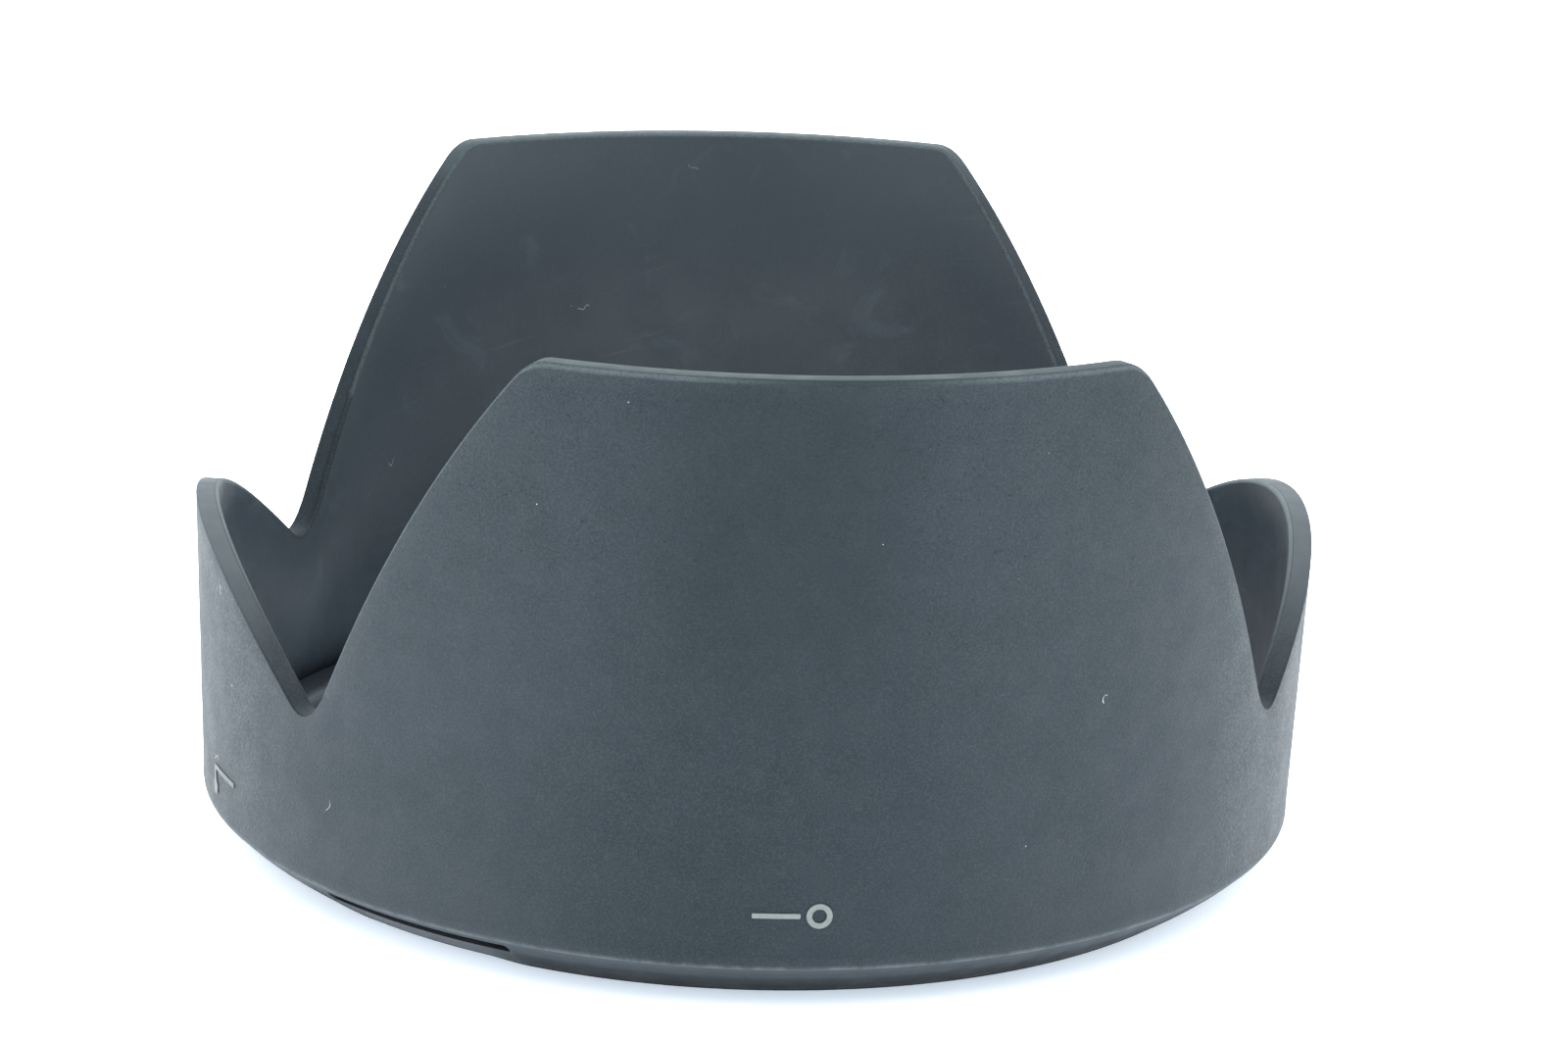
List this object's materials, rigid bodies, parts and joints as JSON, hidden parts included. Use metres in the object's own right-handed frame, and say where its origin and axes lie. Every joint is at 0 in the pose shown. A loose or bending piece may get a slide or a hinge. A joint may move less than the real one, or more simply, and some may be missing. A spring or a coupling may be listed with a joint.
{
  "type": "petal lens hood",
  "caption": "Petal-shaped lens hood of matte moulded plastic with a tapered bayonet collar, sprung click strips and printed index marks.",
  "frame": {"origin": "on the optical axis, at the plane of the collar's foot that the hood stands on", "axes": "+Z along the optical axis, away from the lens, with the petals up; the long petals on -Y and +Y, the short petals on -X and +X; the lock mark faces -Y"},
  "size_m": [0.0892, 0.0904, 0.0476],
  "materials": {
    "shell_plastic": "matte slate-black moulded plastic, fine spark-eroded grain outside, smoother darker inside",
    "collar_plastic": "matte slate-black moulded plastic with a finer grain",
    "print": "light grey pad-printed ink"
  },
  "bodies": {
    "hood": {"petal_shell": "shell_plastic", "bayonet_ring": "collar_plastic", "lock_ring": "print", "lock_bar": "print", "align_mark": "print"},
    "click_a": {"click_strip_a": "collar_plastic"},
    "click_b": {"click_strip_b": "collar_plastic"}
  },
  "joints": [
    {"name": "click_a_flex", "type": "slide", "parent": "hood", "child": "click_a", "axis": [-0.6743, -0.7385, 0], "range_m": [0, 0.0005], "stiffness_N_per_m": 500},
    {"name": "click_b_flex", "type": "slide", "parent": "hood", "child": "click_b", "axis": [0.6743, 0.7385, 0], "range_m": [0, 0.0005], "stiffness_N_per_m": 500}
  ]
}
